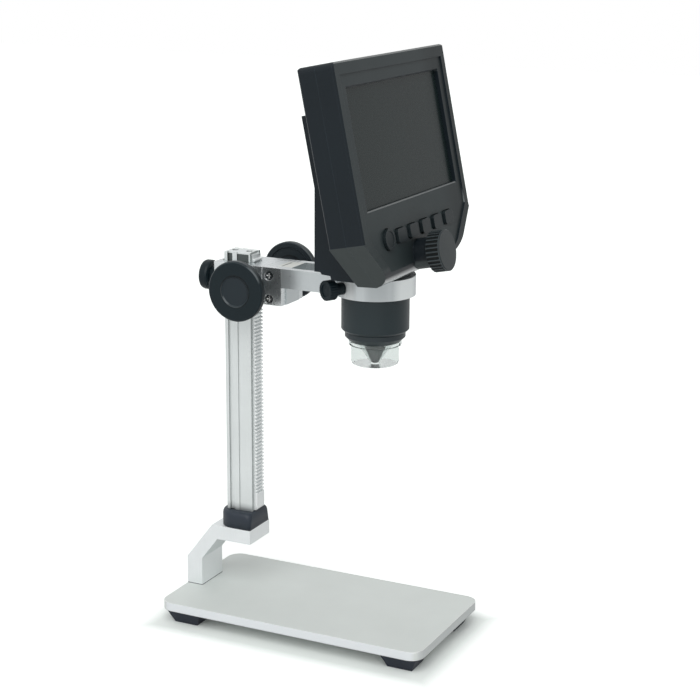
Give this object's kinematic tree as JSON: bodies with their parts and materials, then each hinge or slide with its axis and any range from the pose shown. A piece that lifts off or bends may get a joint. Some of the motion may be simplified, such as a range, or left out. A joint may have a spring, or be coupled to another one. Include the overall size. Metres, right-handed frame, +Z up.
{
  "type": "lcd digital microscope",
  "caption": "Microscope with a tilted screen housing over a lens barrel, held by a ring arm that climbs a toothed column on a flat base plate.",
  "frame": {"origin": "on the table, under the middle of the base plate", "axes": "+Z up, -Y towards the user who faces the screen, +X to that user's right"},
  "size_m": [0.1216, 0.1456, 0.2922],
  "materials": {
    "plate_aluminium": "satin anodised, light grey",
    "bracket_aluminium": "satin, milled",
    "column_aluminium": "extruded, satin",
    "rack_steel": "machined teeth",
    "carriage_aluminium": "milled and polished",
    "arm_aluminium": "milled and polished",
    "gib_brass": "milled",
    "foot_rubber": "moulded, matt black",
    "collar_plastic": "moulded, satin black",
    "knob_black": "moulded, satin black",
    "shaft_steel": "ground",
    "steel_screws": "zinc plated",
    "black_screws": "blackened steel",
    "barrel_plastic": "turned, satin black",
    "nose_plastic": "moulded, satin black",
    "baffle_plastic": "matt black",
    "diffuser_clear": "clear, frosted inside",
    "carrier_plastic": "matt black",
    "lens_glass": "polished, coated",
    "shell_front_plastic": "moulded, fine texture, black",
    "shell_rear_plastic": "moulded, fine texture, black",
    "cover_plastic": "moulded, fine texture, black",
    "key_plastic": "moulded, satin black",
    "focus_plastic": "moulded, fluted, black",
    "window_plastic": "clear window over a dark screen",
    "lcd_panel": "dark screen, switched off",
    "frame_steel": "pressed sheet",
    "board_green": "solder mask",
    "battery_wrap": "shrink wrap",
    "socket_steel": "plated shell"
  },
  "bodies": {
    "stand": {"base_plate": "plate_aluminium", "feet": "foot_rubber", "column_bracket": "bracket_aluminium", "bracket_screws": "steel_screws", "column_collar": "collar_plastic", "column": "column_aluminium", "column_screws": "black_screws", "gear_rack": "rack_steel"},
    "carriage": {"carriage_block": "carriage_aluminium", "gib": "gib_brass", "side_screws": "black_screws", "arm_fork": "arm_aluminium"},
    "pinion": {"pinion_shaft": "shaft_steel", "knob_left": "knob_black", "knob_right": "knob_black"},
    "lock": {"lock_screw": "knob_black"},
    "ring_clamp": {"ring_screw": "knob_black"},
    "head": {"barrel": "barrel_plastic", "barrel_screws": "steel_screws", "nose_ring": "nose_plastic", "led_board": "board_green", "baffle_cone": "baffle_plastic", "diffuser_cup": "diffuser_clear", "front_shell": "shell_front_plastic", "rear_shell": "shell_rear_plastic", "rear_housing": "shell_rear_plastic", "case_screws": "steel_screws", "rear_screws": "steel_screws", "battery_cover": "cover_plastic", "cover_screws": "steel_screws", "battery": "battery_wrap", "screen_window": "window_plastic", "lcd_module": "lcd_panel", "lcd_frame": "frame_steel", "frame_screws": "steel_screws", "main_board": "board_green", "board_screws": "steel_screws", "usb_socket": "socket_steel", "key_board": "board_green", "sensor_board": "board_green", "sensor_screws": "steel_screws"},
    "lens": {"lens_carrier": "carrier_plastic", "objective_lens": "lens_glass"},
    "focus": {"focus_knob": "focus_plastic", "focus_shaft": "shaft_steel"},
    "key_power": {"key_power": "key_plastic"},
    "key_2": {"key_2": "key_plastic"},
    "key_3": {"key_3": "key_plastic"},
    "key_4": {"key_4": "key_plastic"},
    "key_5": {"key_5": "key_plastic"},
    "key_6": {"key_6": "key_plastic"}
  },
  "joints": [
    {"name": "carriage_slide", "type": "slide", "parent": "stand", "child": "carriage", "axis": [0, 0, 1], "range_m": [-0.108, 0.008]},
    {"name": "pinion_spin", "type": "hinge", "parent": "carriage", "child": "pinion", "pos_m": [0, 0.03109, 0.17715], "axis": [1, 0, 0], "range_deg": [-128, 1720]},
    {"name": "lock_turn", "type": "hinge", "parent": "carriage", "child": "lock", "pos_m": [0, 0.0539, 0.17715], "axis": [0, 1, 0], "range_deg": [0, 360]},
    {"name": "ring_clamp_turn", "type": "hinge", "parent": "carriage", "child": "ring_clamp", "pos_m": [-0.01716, -0.02088, 0.18175], "axis": [-0.8809, 0.4733, 0], "range_deg": [0, 360]},
    {"name": "head_swivel", "type": "hinge", "parent": "carriage", "child": "head", "pos_m": [0, -0.0301, 0.18175], "axis": [0, 0, 1], "range_deg": [-90, 90]},
    {"name": "lens_slide", "type": "slide", "parent": "head", "child": "lens", "axis": [0, 0, 1], "range_m": [-0.0024, 0.0024]},
    {"name": "focus_turn", "type": "hinge", "parent": "head", "child": "focus", "pos_m": [-0.0045, -0.05583, 0.19972], "axis": [0, 0.9796, -0.2011], "range_deg": [-57, 57]},
    {"name": "key_power_press", "type": "slide", "parent": "head", "child": "key_power", "axis": [0, 0.9796, -0.2011], "range_m": [0, 0.0006], "stiffness_N_per_m": 400, "springref_m": -0.0006},
    {"name": "key_2_press", "type": "slide", "parent": "head", "child": "key_2", "axis": [0, 0.9796, -0.2011], "range_m": [0, 0.0006], "stiffness_N_per_m": 400, "springref_m": -0.0006},
    {"name": "key_3_press", "type": "slide", "parent": "head", "child": "key_3", "axis": [0, 0.9796, -0.2011], "range_m": [0, 0.0006], "stiffness_N_per_m": 400, "springref_m": -0.0006},
    {"name": "key_4_press", "type": "slide", "parent": "head", "child": "key_4", "axis": [0, 0.9796, -0.2011], "range_m": [0, 0.0006], "stiffness_N_per_m": 400, "springref_m": -0.0006},
    {"name": "key_5_press", "type": "slide", "parent": "head", "child": "key_5", "axis": [0, 0.9796, -0.2011], "range_m": [0, 0.0006], "stiffness_N_per_m": 400, "springref_m": -0.0006},
    {"name": "key_6_press", "type": "slide", "parent": "head", "child": "key_6", "axis": [0, 0.9796, -0.2011], "range_m": [0, 0.0006], "stiffness_N_per_m": 400, "springref_m": -0.0006}
  ],
  "couplings": [
    {"joint": "pinion_spin", "follows": "carriage_slide", "rad_per_m": -277.78},
    {"joint": "focus_turn", "follows": "lens_slide", "rad_per_m": -408.16}
  ]
}
